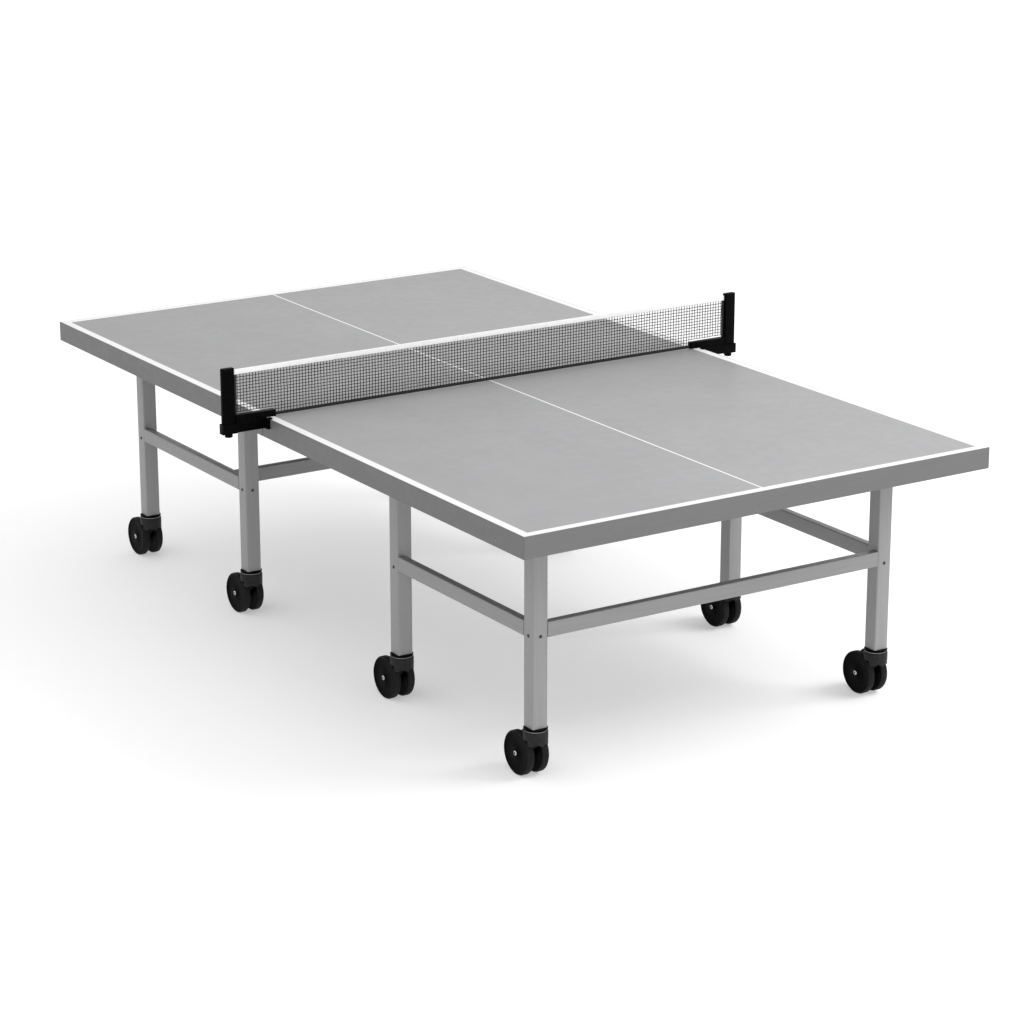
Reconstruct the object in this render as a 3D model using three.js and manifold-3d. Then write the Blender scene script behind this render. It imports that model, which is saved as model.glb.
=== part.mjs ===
// A ping pong table in two halves, each on four square legs with swivelling
// twin-wheel castors, and a net held by two posts on the near half.
//
// Millimetres. +X runs along the net, +Y from the near end to the far end, +Z up.
// The origin is on the floor under the middle of the table.

import * as THREE from "three";
import { mergeVertices } from "three/addons/utils/BufferGeometryUtils.js";
import Module from "manifold-3d";

const wasm = await Module();
wasm.setup();

// ---------------------------------------------------------------- dimensions

const GAP = 0.3; // play between two pieces that touch
const OVERLAP = 1; // of shapes that are joined, or past the end of a cut
const MERGE_DISTANCE = 1e-4; // between vertices that are one
const PIN_SIDES = 12;
const BORE_SIDES = 16;

// Playing surface
const TABLE_LENGTH = 2740;
const TABLE_WIDTH = 1525;
const TABLE_HEIGHT = 760;
const SPLIT_GAP = 2; // between the two halves
const PANEL_THICKNESS = 22;

// Apron: a rolled steel channel round each half, flush with the panel's top
const APRON_HEIGHT = 60;
const APRON_WALL = 2.5;
const APRON_LEDGE = 26; // shelf that the panel rests on, from the outer face
const APRON_LIP = 15; // bottom return, from the outer face
const APRON_CORNER = 1;

// Undercarriage
const LEG_SIDE = 46;
const LEG_WALL = 2;
const LEG_CORNER = 3;
const LEG_X = 576; // leg centre from the middle of the table
const END_LEG_Y = 1140;
const NET_LEG_Y = 450;
const LEG_BOTTOM = 145;
const LEG_PLATE_SIDE = 100; // plate screwed to the underside of the panel
const LEG_PLATE_THICKNESS = 4;
const LEG_PLUG_THICKNESS = 5;
const RAIL_HEIGHT = 43;
const RAIL_WIDTH = 25;
const RAIL_WALL = 2;
const RAIL_TOP = 438;
const TIE_SETBACK = 50; // from the far half's net legs to its cross rail

// Castors
const WHEEL_RADIUS = 62;
const WHEEL_WIDTH = 23;
const WHEEL_CHAMFER = 4;
const WHEEL_INNER_X = 11.5; // half the space between the two wheels
const WHEEL_CLEARANCE = 2; // from a wheel to the housing over it
const WHEEL_BORE_RADIUS = 4.5;
const WHEEL_SIDES = 24;
const TRAIL = 44; // from the swivel axis to the axle
const AXLE_RADIUS = 4;
const RIVET_RADIUS = 6.5;
const RIVET_THICKNESS = 2.5;
const STEM_RADIUS = 5.8;
const STEM_BORE_RADIUS = 6.4;
const STEM_TOP = 185;
const COLLAR_RADIUS = 33;
const COLLAR_THICKNESS = 6;
const SWIVEL_RING_RADIUS = 30;
const SWIVEL_RING_THICKNESS = 3;
const HOUSING_RADIUS = 34;
const HOUSING_BOTTOM = 112;
const SKIRT_BOTTOM = 96;
const SKIRT_THICKNESS = 7;
const SKIRT_BACK = -10; // how far round the housing the skirt reaches, in y
const ROUND_SIDES = 24;
const TONGUE_THICKNESS = 18;
const TONGUE_TOP = HOUSING_BOTTOM + 2 * OVERLAP;
const TONGUE_FRONT = -18; // the tongue's top edge runs from here
const TONGUE_BACK = HOUSING_RADIUS - 4; // to here, in y
const TONGUE_KNEE = [-12, 96]; // y and z where its front edge turns to the axle
const TONGUE_HEEL = [53, 90];
const BOSS_RADIUS = 13;
const BOSS_STEPS = 8;

// Net set
const NET_Y = -12; // the net hangs on the near half, just short of the split
const NET_OVERHANG = 95; // from the table's side to the post
const NET_HEIGHT = 152.5;
const TAPE_HEIGHT = 15;
const TAPE_THICKNESS = 4;
const MESH_THICKNESS = 2;
const BAND_HEIGHT = 8; // the dark band along the net's lower edge
const BAND_THICKNESS = 3;
const BAND_CLEARANCE = 1.5; // from the playing surface to the band
const POST_WIDTH = 40;
const POST_DEPTH = 18;
const POST_CORNER = 6;
const POST_CORNER_STEPS = 4;
const POST_ABOVE_TAPE = 6;
const TENON_WIDTH = 30;
const TENON_DEPTH = 11;
const TENON_PLAY = 0.5;
const BRACKET_DEPTH = 18;
const BRACKET_DROP = 30; // arm's underside below the playing surface
const BRACKET_RISE = 20; // tongue's top above the playing surface
const TONGUE_REACH = 33; // of the bracket, over the table
const BASE_MARGIN = 3; // of the base, either side of the post
const BASE_FRONT_MARGIN = 2; // of the base before and behind the post; the arm is flush
const BASE_DROP = 32;
const BASE_TOP_DROP = 3;
const SOCKET_FLOOR = 10; // thickness under the socket
const HOOK_SPREAD = 26; // of the edge hook, towards the near end
const HOOK_THICKNESS = 8;
const HOOK_REACH = 8;
const HOOK_WIDTH = 14;
const HOOK_FOOT_RISE = 2; // above the arm's underside
const MESH_CLEARANCE = 1; // from the net to the tongues
const SCREW_RADIUS = 3;
const SCREW_BORE_RADIUS = 3.6;
const SCREW_HEAD_RADIUS = 11.5;
const SCREW_HEAD_HEIGHT = 10;
const SCREW_COLLAR_RADIUS = 5;
const SCREW_COLLAR_THICKNESS = 2;
const SCREW_REACH = 14; // up into the post's tenon
const SCREW_TRAVEL = 8; // spare bore above the screw's tip

// Worked out from the above
const SIDE_X = TABLE_WIDTH / 2;
const END_Y = TABLE_LENGTH / 2;
const SPLIT_Y = SPLIT_GAP / 2;
const PANEL_BOTTOM = TABLE_HEIGHT - PANEL_THICKNESS;
const LEG_TOP = PANEL_BOTTOM - GAP;
const NET_HALF_LENGTH = SIDE_X + NET_OVERHANG;
const TAPE_TOP = TABLE_HEIGHT + NET_HEIGHT;
const BASE_TOP = TABLE_HEIGHT - BASE_TOP_DROP;
const BASE_BOTTOM = TABLE_HEIGHT - BASE_DROP;
const SOCKET_BOTTOM = BASE_BOTTOM + SOCKET_FLOOR;
const BAND_HALF_LENGTH = SIDE_X - TONGUE_REACH - MESH_CLEARANCE;
const BAND_BOTTOM = TABLE_HEIGHT + BAND_CLEARANCE;
const BAND_TOP = BAND_BOTTOM + BAND_HEIGHT;
const SCREW_COLLAR_TOP = SOCKET_BOTTOM + GAP + SCREW_COLLAR_THICKNESS;
const TENON_BOTTOM = SCREW_COLLAR_TOP + GAP;
const SCREW_TIP = TENON_BOTTOM + SCREW_REACH;

// ----------------------------------------------------------------- materials

function material(color, roughness, metalness) {
  return new THREE.MeshStandardMaterial({ color, roughness, metalness });
}

const boardGrey = material(0xadaeb0, 0.55, 0.0);
const apronSteel = material(0x7e7e7e, 0.45, 0.6);
const legSteel = material(0x9a9a9a, 0.4, 0.7);
const blackNylon = material(0x161616, 0.5, 0.0);
const blackRubber = material(0x0b0b0b, 0.65, 0.0);
const brightSteel = material(0xc8c8c8, 0.25, 1.0);
const netCord = material(0x2a2c2e, 0.9, 0.0);
const blackWebbing = material(0x101112, 0.9, 0.0);
const whiteTape = material(0xf2f2f2, 0.85, 0.0);

// ------------------------------------------------------------------- helpers

// A closed geometry as a solid that can be joined and cut.
function solid(geometry) {
  const bare = geometry.clone();
  bare.deleteAttribute("normal");
  bare.deleteAttribute("uv");
  const merged = mergeVertices(bare, MERGE_DISTANCE);
  const mesh = new wasm.Mesh({
    numProp: 3,
    vertProperties: merged.attributes.position.array,
    triVerts: new Uint32Array(merged.index.array),
  });
  return new wasm.Manifold(mesh);
}

// A solid as a geometry with flat faces.
function geometryOf(made) {
  const { numProp, vertProperties, triVerts } = made.getMesh();
  const count = vertProperties.length / numProp;
  const positions = new Float32Array(3 * count);
  for (let i = 0; i < count; i += 1) {
    for (let k = 0; k < 3; k += 1) {
      positions[3 * i + k] = vertProperties[numProp * i + k];
    }
  }
  const indexed = new THREE.BufferGeometry();
  indexed.setAttribute("position", new THREE.BufferAttribute(positions, 3));
  indexed.setIndex(new THREE.BufferAttribute(triVerts, 1));
  const flat = indexed.toNonIndexed();
  flat.computeVertexNormals();
  return flat;
}

function joined(geometries) {
  return geometries.map(solid).reduce((whole, piece) => whole.add(piece));
}

function cut(whole, geometries) {
  return geometries.map(solid).reduce((rest, tool) => rest.subtract(tool), whole);
}

// A box between two opposite corners.
function box([x0, y0, z0], [x1, y1, z1]) {
  const geometry = new THREE.BoxGeometry(
    Math.abs(x1 - x0),
    Math.abs(y1 - y0),
    Math.abs(z1 - z0),
  );
  return geometry.translate((x0 + x1) / 2, (y0 + y1) / 2, (z0 + z1) / 2);
}

// An upright cylinder from z0 to z1.
function upright(radius, z0, z1, sides) {
  const geometry = new THREE.CylinderGeometry(radius, radius, z1 - z0, sides);
  geometry.rotateX(Math.PI / 2);
  return geometry.translate(0, 0, (z0 + z1) / 2);
}

function roundedRectangle(width, height, radius) {
  const w = width / 2 - radius;
  const h = height / 2 - radius;
  const quarter = Math.PI / 2;
  const shape = new THREE.Shape();
  shape.absarc(w, h, radius, 0, quarter);
  shape.absarc(-w, h, radius, quarter, 2 * quarter);
  shape.absarc(-w, -h, radius, 2 * quarter, 3 * quarter);
  shape.absarc(w, -h, radius, 3 * quarter, 4 * quarter);
  return shape;
}

// A rounded rectangle extruded upwards from z0 to z1.
function roundedBar(width, depth, radius, z0, z1, curveSegments = 2) {
  const shape = roundedRectangle(width, depth, radius);
  const settings = { depth: z1 - z0, bevelEnabled: false, curveSegments };
  return new THREE.ExtrudeGeometry(shape, settings).translate(0, 0, z0);
}

// A rectangular tube, open at both ends, centred on the origin along Z.
function tube(width, depth, wall, length) {
  const shape = roundedRectangle(width, depth, wall);
  shape.holes.push(roundedRectangle(width - 2 * wall, depth - 2 * wall, wall / 2));
  const settings = { depth: length, bevelEnabled: false, curveSegments: 1 };
  return new THREE.ExtrudeGeometry(shape, settings).translate(0, 0, -length / 2);
}

function node(name, geometry, look) {
  const mesh = new THREE.Mesh(geometry, look);
  mesh.name = name;
  return mesh;
}

// ------------------------------------------------------------------ tabletop

// One half of the playing surface; side is -1 for the near half, 1 for the far.
function panel(name, side) {
  const x = SIDE_X - APRON_WALL - GAP;
  const inner = side * (SPLIT_Y + APRON_WALL + GAP);
  const outer = side * (END_Y - APRON_WALL - GAP);
  return node(name, box([-x, inner, PANEL_BOTTOM], [x, outer, TABLE_HEIGHT]), boardGrey);
}

// A flat rectangular ring, `width` wide, inside the half's outline.
function outlineRing(side, width, z0, z1) {
  const length = END_Y - SPLIT_Y;
  const shape = roundedRectangle(2 * SIDE_X, length, APRON_CORNER);
  const hole = roundedRectangle(2 * (SIDE_X - width), length - 2 * width, APRON_CORNER);
  shape.holes.push(hole);
  const settings = { depth: z1 - z0, bevelEnabled: false, curveSegments: 1 };
  const ring = new THREE.ExtrudeGeometry(shape, settings);
  return ring.translate(0, (side * (END_Y + SPLIT_Y)) / 2, z0);
}

function apron(name, side) {
  const bottom = TABLE_HEIGHT - APRON_HEIGHT;
  const ledgeTop = PANEL_BOTTOM - GAP;
  const whole = joined([
    outlineRing(side, APRON_WALL, bottom, TABLE_HEIGHT),
    outlineRing(side, APRON_LEDGE, ledgeTop - APRON_WALL, ledgeTop),
    outlineRing(side, APRON_LIP, bottom, bottom + APRON_WALL),
  ]);
  return node(name, geometryOf(whole), apronSteel);
}

// ------------------------------------------------------------- undercarriage

function leg(name) {
  const inside = LEG_SIDE - 2 * LEG_WALL;
  const plateBottom = LEG_TOP - LEG_PLATE_THICKNESS;
  const plugTop = LEG_BOTTOM + LEG_PLUG_THICKNESS;
  const half = LEG_PLATE_SIDE / 2;
  const whole = joined([
    roundedBar(LEG_SIDE, LEG_SIDE, LEG_CORNER, LEG_BOTTOM, LEG_TOP),
    box([-half, -half, plateBottom], [half, half, LEG_TOP]),
  ]);
  const hollow = box(
    [-inside / 2, -inside / 2, plugTop],
    [inside / 2, inside / 2, plateBottom],
  );
  const bore = upright(STEM_BORE_RADIUS, LEG_BOTTOM - OVERLAP, plugTop + OVERLAP, BORE_SIDES);
  return node(name, geometryOf(cut(whole, [hollow, bore])), legSteel);
}

// A rail along Y between the two legs on one side of a half.
function sideRail(name, side, x) {
  const length = END_LEG_Y - NET_LEG_Y - LEG_SIDE - 2 * GAP;
  const geometry = tube(RAIL_WIDTH, RAIL_HEIGHT, RAIL_WALL, length).rotateX(Math.PI / 2);
  const rail = node(name, geometry, legSteel);
  const inset = (LEG_SIDE - RAIL_WIDTH) / 2;
  const y = (side * (END_LEG_Y + NET_LEG_Y)) / 2;
  rail.position.set(x + Math.sign(x) * inset, y, RAIL_TOP - RAIL_HEIGHT / 2);
  return rail;
}

// A rail along X, centred on y.
function crossRail(name, length, y) {
  const geometry = tube(RAIL_HEIGHT, RAIL_WIDTH, RAIL_WALL, length).rotateY(Math.PI / 2);
  const rail = node(name, geometry, legSteel);
  rail.position.set(0, y, RAIL_TOP - RAIL_HEIGHT / 2);
  return rail;
}

// ------------------------------------------------------------------- castors

// The tongue between the wheels, seen from the side as y and z.
function tongueOutline() {
  const shape = new THREE.Shape();
  shape.moveTo(TONGUE_FRONT, TONGUE_TOP);
  shape.lineTo(...TONGUE_KNEE);
  shape.lineTo(TRAIL - BOSS_RADIUS, WHEEL_RADIUS);
  shape.absarc(TRAIL, WHEEL_RADIUS, BOSS_RADIUS, Math.PI, 2 * Math.PI);
  shape.lineTo(...TONGUE_HEEL);
  shape.lineTo(TONGUE_BACK, TONGUE_TOP);
  return shape;
}

function tongue() {
  const settings = {
    depth: TONGUE_THICKNESS,
    bevelEnabled: false,
    curveSegments: BOSS_STEPS,
  };
  const geometry = new THREE.ExtrudeGeometry(tongueOutline(), settings);
  geometry.translate(0, 0, -TONGUE_THICKNESS / 2);
  return geometry.rotateX(Math.PI / 2).rotateZ(Math.PI / 2);
}

// A cylinder along X at the axle.
function alongAxle(radius, length, x, sides) {
  const geometry = new THREE.CylinderGeometry(radius, radius, length, sides);
  return geometry.rotateZ(Math.PI / 2).translate(x, TRAIL, WHEEL_RADIUS);
}

// The curved wall that hangs from the front of the housing.
function skirt() {
  const inner = HOUSING_RADIUS - SKIRT_THICKNESS;
  const foot = SKIRT_BOTTOM - OVERLAP;
  const side = HOUSING_RADIUS + OVERLAP;
  const wall = upright(HOUSING_RADIUS, SKIRT_BOTTOM, HOUSING_BOTTOM + OVERLAP, ROUND_SIDES);
  return cut(solid(wall), [
    upright(inner, foot, HOUSING_BOTTOM, ROUND_SIDES),
    box([-side, SKIRT_BACK, foot], [side, side, HOUSING_BOTTOM]),
  ]);
}

// The stem, collar, swivel ring, housing and tongue, with wells for the wheels.
function castorFork(name) {
  const collarTop = LEG_BOTTOM - GAP;
  const ringTop = collarTop - COLLAR_THICKNESS;
  const housingTop = ringTop - SWIVEL_RING_THICKNESS;
  const head = joined([
    upright(STEM_RADIUS, housingTop - OVERLAP, STEM_TOP, PIN_SIDES),
    upright(COLLAR_RADIUS, ringTop, collarTop, ROUND_SIDES),
    upright(SWIVEL_RING_RADIUS, housingTop - OVERLAP, ringTop + OVERLAP, ROUND_SIDES),
    upright(HOUSING_RADIUS, HOUSING_BOTTOM, housingTop, ROUND_SIDES),
  ]);
  const wellWidth = HOUSING_RADIUS;
  const wellX = WHEEL_INNER_X - GAP + wellWidth / 2;
  const well = WHEEL_RADIUS + WHEEL_CLEARANCE;
  const hollowed = cut(head.add(skirt()), [
    alongAxle(well, wellWidth, -wellX, 2 * ROUND_SIDES),
    alongAxle(well, wellWidth, wellX, 2 * ROUND_SIDES),
  ]);
  const bore = alongAxle(AXLE_RADIUS + GAP, 2 * TONGUE_THICKNESS, 0, BORE_SIDES);
  const whole = cut(hollowed.add(solid(tongue())), [bore]);
  return node(name, geometryOf(whole), blackNylon);
}

// A solid turned about X from [radius, x] points.
function turnedAboutX(profile, sides) {
  const points = profile.map(([radius, x]) => new THREE.Vector2(radius, x));
  return new THREE.LatheGeometry(points, sides).rotateZ(-Math.PI / 2);
}

function wheel(name) {
  const half = WHEEL_WIDTH / 2;
  const rim = WHEEL_RADIUS - WHEEL_CHAMFER;
  const profile = [
    [WHEEL_BORE_RADIUS, -half],
    [rim, -half],
    [WHEEL_RADIUS, -half + WHEEL_CHAMFER],
    [WHEEL_RADIUS, half - WHEEL_CHAMFER],
    [rim, half],
    [WHEEL_BORE_RADIUS, half],
    [WHEEL_BORE_RADIUS, -half],
  ];
  return node(name, turnedAboutX(profile, WHEEL_SIDES), blackRubber);
}

function axle(name) {
  const face = WHEEL_INNER_X + WHEEL_WIDTH + GAP;
  const end = face + RIVET_THICKNESS;
  const profile = [
    [0, -end],
    [RIVET_RADIUS, -end],
    [RIVET_RADIUS, -face],
    [AXLE_RADIUS, -face],
    [AXLE_RADIUS, face],
    [RIVET_RADIUS, face],
    [RIVET_RADIUS, end],
    [0, end],
  ];
  return node(name, turnedAboutX(profile, PIN_SIDES), brightSteel);
}

// One leg and its castor, as a group that stands at the leg's centre.
function legWithCastor(key) {
  const group = new THREE.Group();
  group.add(leg(`${key}_leg`), castorFork(`${key}_castor_fork`));
  const wheelX = WHEEL_INNER_X + WHEEL_WIDTH / 2;
  const pin = axle(`${key}_castor_axle`);
  const left = wheel(`${key}_wheel_left`);
  const right = wheel(`${key}_wheel_right`);
  pin.position.set(0, TRAIL, WHEEL_RADIUS);
  left.position.set(-wheelX, TRAIL, WHEEL_RADIUS);
  right.position.set(wheelX, TRAIL, WHEEL_RADIUS);
  group.add(pin, left, right);
  return group;
}

// A whole half: panel, apron, four legs with castors, and its rails.
function half(name, side) {
  const group = new THREE.Group();
  group.add(panel(`${name}_top_panel`, side), apron(`${name}_apron`, side));
  for (const [across, x] of [["left", -LEG_X], ["right", LEG_X]]) {
    for (const [along, y] of [["end", END_LEG_Y], ["net", NET_LEG_Y]]) {
      const corner = legWithCastor(`${name}_${along}_${across}`);
      corner.position.set(x, side * y, 0);
      group.add(corner);
    }
    group.add(sideRail(`${name}_${across}_rail`, side, x));
  }
  return group;
}

// ------------------------------------------------------------------- net set

// The arm beside the table, the tongue over it and the base under the post.
function bracketBody() {
  const edge = SIDE_X + GAP;
  const post = SIDE_X + NET_OVERHANG;
  const half = BRACKET_DEPTH / 2;
  const armBottom = TABLE_HEIGHT - BRACKET_DROP;
  const tongueBottom = TABLE_HEIGHT + GAP;
  const tongueTop = TABLE_HEIGHT + BRACKET_RISE;
  const tongueEnd = post - GAP;
  const baseIn = post - BASE_MARGIN;
  const baseOut = post + POST_WIDTH + BASE_MARGIN;
  const baseHalf = POST_DEPTH / 2 + BASE_FRONT_MARGIN;
  return joined([
    box([edge, -baseHalf, armBottom], [baseIn + OVERLAP, half, TABLE_HEIGHT]),
    box([edge, -half, TABLE_HEIGHT - OVERLAP], [tongueEnd, half, tongueBottom + OVERLAP]),
    box([SIDE_X - TONGUE_REACH, -half, tongueBottom], [tongueEnd, half, tongueTop]),
    box([baseIn, -baseHalf, BASE_BOTTOM], [baseOut, baseHalf, BASE_TOP]),
  ]);
}

// The hook that grips the table's edge in front of the arm.
function bracketHook() {
  const inner = SIDE_X + GAP;
  const outer = inner + HOOK_THICKNESS;
  const arm = -BRACKET_DEPTH / 2;
  const front = arm - HOOK_SPREAD;
  const foot = TABLE_HEIGHT - BRACKET_DROP + HOOK_FOOT_RISE;
  const lipBottom = TABLE_HEIGHT + GAP;
  const lipTop = lipBottom + BASE_MARGIN;
  const lipBack = front + HOOK_WIDTH;
  return joined([
    box([inner, front, foot], [outer, arm + OVERLAP, BASE_TOP]),
    box([inner, front, BASE_TOP - OVERLAP], [outer, lipBack, lipTop]),
    box([SIDE_X - HOOK_REACH, front, lipBottom], [outer, lipBack, lipTop]),
  ]);
}

// The bracket on the table's right side; the left one is its mirror image.
function bracketSolid() {
  const middle = NET_HALF_LENGTH + POST_WIDTH / 2;
  const width = TENON_WIDTH / 2 + TENON_PLAY;
  const depth = TENON_DEPTH / 2 + TENON_PLAY;
  const top = BASE_TOP + OVERLAP;
  const socket = box([middle - width, -depth, SOCKET_BOTTOM], [middle + width, depth, top]);
  const boreTop = SOCKET_BOTTOM + OVERLAP;
  const bore = upright(SCREW_BORE_RADIUS, BASE_BOTTOM - OVERLAP, boreTop, PIN_SIDES);
  return cut(bracketBody().add(bracketHook()), [socket, bore.translate(middle, 0, 0)]);
}

function post(name) {
  const shoulder = BASE_TOP + GAP;
  const postTop = TAPE_TOP + POST_ABOVE_TAPE;
  const whole = joined([
    roundedBar(POST_WIDTH, POST_DEPTH, POST_CORNER, shoulder, postTop, POST_CORNER_STEPS),
    box(
      [-TENON_WIDTH / 2, -TENON_DEPTH / 2, TENON_BOTTOM],
      [TENON_WIDTH / 2, TENON_DEPTH / 2, shoulder + OVERLAP],
    ),
  ]);
  const boreTop = SCREW_TIP + SCREW_TRAVEL;
  const bore = upright(SCREW_BORE_RADIUS, TENON_BOTTOM - OVERLAP, boreTop, PIN_SIDES);
  return node(name, geometryOf(cut(whole, [bore])), blackNylon);
}

function heightScrew(name) {
  const headTop = BASE_BOTTOM - GAP;
  const whole = joined([
    upright(SCREW_HEAD_RADIUS, headTop - SCREW_HEAD_HEIGHT, headTop, BORE_SIDES),
    upright(SCREW_RADIUS, headTop - OVERLAP, SCREW_TIP, PIN_SIDES),
    upright(SCREW_COLLAR_RADIUS, SOCKET_BOTTOM + GAP, SCREW_COLLAR_TOP, PIN_SIDES),
  ]);
  return node(name, geometryOf(whole), blackNylon);
}

// The mesh, with its lower corners cut away over the brackets' tongues.
function netMesh(name) {
  const end = NET_HALF_LENGTH - GAP;
  const tongueEnd = BAND_HALF_LENGTH;
  const low = BAND_TOP + GAP;
  const step = TABLE_HEIGHT + BRACKET_RISE + MESH_CLEARANCE;
  const high = TAPE_TOP - TAPE_HEIGHT - GAP;
  const shape = new THREE.Shape();
  shape.moveTo(-tongueEnd, low);
  shape.lineTo(tongueEnd, low);
  shape.lineTo(tongueEnd, step);
  shape.lineTo(end, step);
  shape.lineTo(end, high);
  shape.lineTo(-end, high);
  shape.lineTo(-end, step);
  shape.lineTo(-tongueEnd, step);
  const settings = { depth: MESH_THICKNESS, bevelEnabled: false };
  const geometry = new THREE.ExtrudeGeometry(shape, settings);
  geometry.translate(0, 0, -MESH_THICKNESS / 2).rotateX(Math.PI / 2);
  return node(name, geometry, netCord);
}

function netTape(name) {
  const end = NET_HALF_LENGTH - GAP;
  const low = TAPE_TOP - TAPE_HEIGHT;
  const half = TAPE_THICKNESS / 2;
  return node(name, box([-end, -half, low], [end, half, TAPE_TOP]), whiteTape);
}

function netBand(name) {
  const half = BAND_THICKNESS / 2;
  const from = [-BAND_HALF_LENGTH, -half, BAND_BOTTOM];
  const to = [BAND_HALF_LENGTH, half, BAND_TOP];
  return node(name, box(from, to), blackWebbing);
}

function netSet() {
  const group = new THREE.Group();
  const right = geometryOf(bracketSolid());
  const left = geometryOf(bracketSolid().mirror([1, 0, 0]));
  group.add(node("right_net_bracket", right, blackNylon));
  group.add(node("left_net_bracket", left, blackNylon));
  for (const [across, sign] of [["left", -1], ["right", 1]]) {
    const x = sign * (NET_HALF_LENGTH + POST_WIDTH / 2);
    const upstand = post(`${across}_net_post`);
    const screw = heightScrew(`${across}_height_screw`);
    upstand.position.x = x;
    screw.position.x = x;
    group.add(upstand, screw);
  }
  group.add(netMesh("net_mesh"), netTape("net_tape"), netBand("net_bottom_band"));
  group.position.y = NET_Y;
  return group;
}

// --------------------------------------------------------------------- table

const table = new THREE.Group();
table.add(half("near", -1), half("far", 1), netSet());

const nearCrossY = -END_LEG_Y - (LEG_SIDE - RAIL_WIDTH) / 2;
const nearCrossLength = 2 * LEG_X - LEG_SIDE - 2 * GAP;
table.add(crossRail("near_cross_rail", nearCrossLength, nearCrossY));

const farCrossY = NET_LEG_Y + LEG_SIDE / 2 + TIE_SETBACK + RAIL_WIDTH / 2;
const farCrossLength = 2 * LEG_X + LEG_SIDE - 2 * RAIL_WIDTH - 2 * GAP;
table.add(crossRail("far_cross_rail", farCrossLength, farCrossY));

export default table;
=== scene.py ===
"""A grey ping pong table: two halves on twin-wheel castors, and a net on two posts."""

import math
import random

import bmesh
import bpy
from mathutils import Matrix, Vector


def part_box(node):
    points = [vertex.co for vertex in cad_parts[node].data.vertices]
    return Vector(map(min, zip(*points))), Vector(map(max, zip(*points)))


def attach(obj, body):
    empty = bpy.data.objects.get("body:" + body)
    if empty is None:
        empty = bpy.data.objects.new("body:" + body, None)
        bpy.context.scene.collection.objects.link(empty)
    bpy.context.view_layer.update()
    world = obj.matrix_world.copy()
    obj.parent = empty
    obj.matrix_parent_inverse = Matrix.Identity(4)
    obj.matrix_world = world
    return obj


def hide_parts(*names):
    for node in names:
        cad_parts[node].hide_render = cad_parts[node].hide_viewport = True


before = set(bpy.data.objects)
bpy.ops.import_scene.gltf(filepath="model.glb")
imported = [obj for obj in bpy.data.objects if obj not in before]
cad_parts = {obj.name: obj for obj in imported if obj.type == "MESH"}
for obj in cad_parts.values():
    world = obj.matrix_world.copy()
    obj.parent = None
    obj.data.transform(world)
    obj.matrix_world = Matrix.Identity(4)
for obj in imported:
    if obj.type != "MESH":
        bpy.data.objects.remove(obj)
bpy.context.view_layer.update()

MM = 0.001

# Camera
CAMERA_LOCATION = (-4.7099, -7.4545, 3.0436)
CAMERA_AZIMUTH = -32.74
CAMERA_ELEVATION = 17.0
CAMERA_LENS = 107.41
SENSOR_WIDTH = 36.0
CLIP_START = 0.1
CLIP_END = 200.0

# Stage
FLOOR_HALF_SIDE = 80.0
FLOOR_GLOW = 0.36
FLOOR_ALBEDO = 0.69
SKY_STRENGTH = 1.0
LIGHT_TARGET = (0.0, 0.0, 0.5)
KEY_LOCATION = (4.2, -3.4, 4.6)
KEY_SIDE = 3.2
KEY_POWER = 232.0
FILL_LOCATION = (1.6, -7.0, 1.2)
FILL_SIDE = 2.4
FILL_POWER = 37.0

# Playing surface
LINE_WIDTH = 25 * MM
CENTRE_LINE_WIDTH = 5.5 * MM
PAINT_THICKNESS = 0.15 * MM
PANEL_EDGE = 0.4 * MM
BOARD_PAINT_FOOT = 740 * MM  # faces whose middle is below this get the underside's dark colour, a painted shade

# Apron channel: depths are from its outer face, heights above its foot
APRON_WALL = 2.5 * MM
APRON_LEDGE_DEPTH = 26 * MM
APRON_LEDGE_TOP = 37.7 * MM
APRON_LIP_DEPTH = 15 * MM
APRON_EDGE = 0.7 * MM
MITRE_GAP = 0.2 * MM

# Legs and rails
LEG_SIDE = 46 * MM
LEG_CORNER = 3.5 * MM
TUBE_WALL = 2 * MM
RAIL_CORNER = 3 * MM
PLATE_THICKNESS = 4 * MM
PLUG_THICKNESS = 5 * MM
STEM_BORE = 6.4 * MM
LEG_EDGE = 0.5 * MM
RAIL_EDGE = 0.4 * MM
SCREW_ABOVE_RAIL_FOOT = 7 * MM
PLATE_SCREW_INSET = 11 * MM

# Button-head screws: the dome is (share of the radius, share of the height)
SCREW_HEAD = 4.8 * MM
SCREW_SIDES = 24
SCREW_HEIGHT = 0.45  # of the head's radius
SCREW_SOCKET = 0.45  # of the head's radius
SCREW_SOCKET_FLOOR = 0.25  # of the head's height
SCREW_DOME = [(1, 0), (1, 0.3), (0.85, 0.75), (0.6, 1)]

# Castor heads: profiles are (radius, drop below the leg's foot) in millimetres
ROUND = 64
HOUSING_PROFILE = [(31, 33), (33, 33), (34, 31.6), (34, 12.6), (32.6, 10), (29, 9.4)]
RACE_PROFILE = [(29, 9.0), (31.0, 8.8), (31.0, 7.3), (29, 7.0)]
COLLAR_PROFILE = [(28, 6.2), (31.6, 6.2), (33, 4.8), (33, 2), (31.4, 0.4), (28, 0.4)]
COLLAR_DROP = 6.3 * MM  # everything above this is the collar
HOUSING_DROP = 33 * MM
CASTOR_EDGE = 0.5 * MM
STEM_RADIUS = 5.8 * MM
STEM_TIP_RADIUS = 4.8 * MM
STEM_CHAMFER = 1 * MM
STEM_DROP = 0.4 * MM
SKIRT_FROM = math.radians(-162)
SKIRT_TO = math.radians(-18)
SKIRT_INNER = 27.5 * MM
SKIRT_OUTER = 33.8 * MM
SKIRT_OVERLAP = 1 * MM
SKIRT_DROPS = [13, 16, 14, 8, 11, 16, 11, 8, 14, 16, 13]  # of its wavy foot, in millimetres
WELL_CLEARANCE = 1.8 * MM
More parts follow.
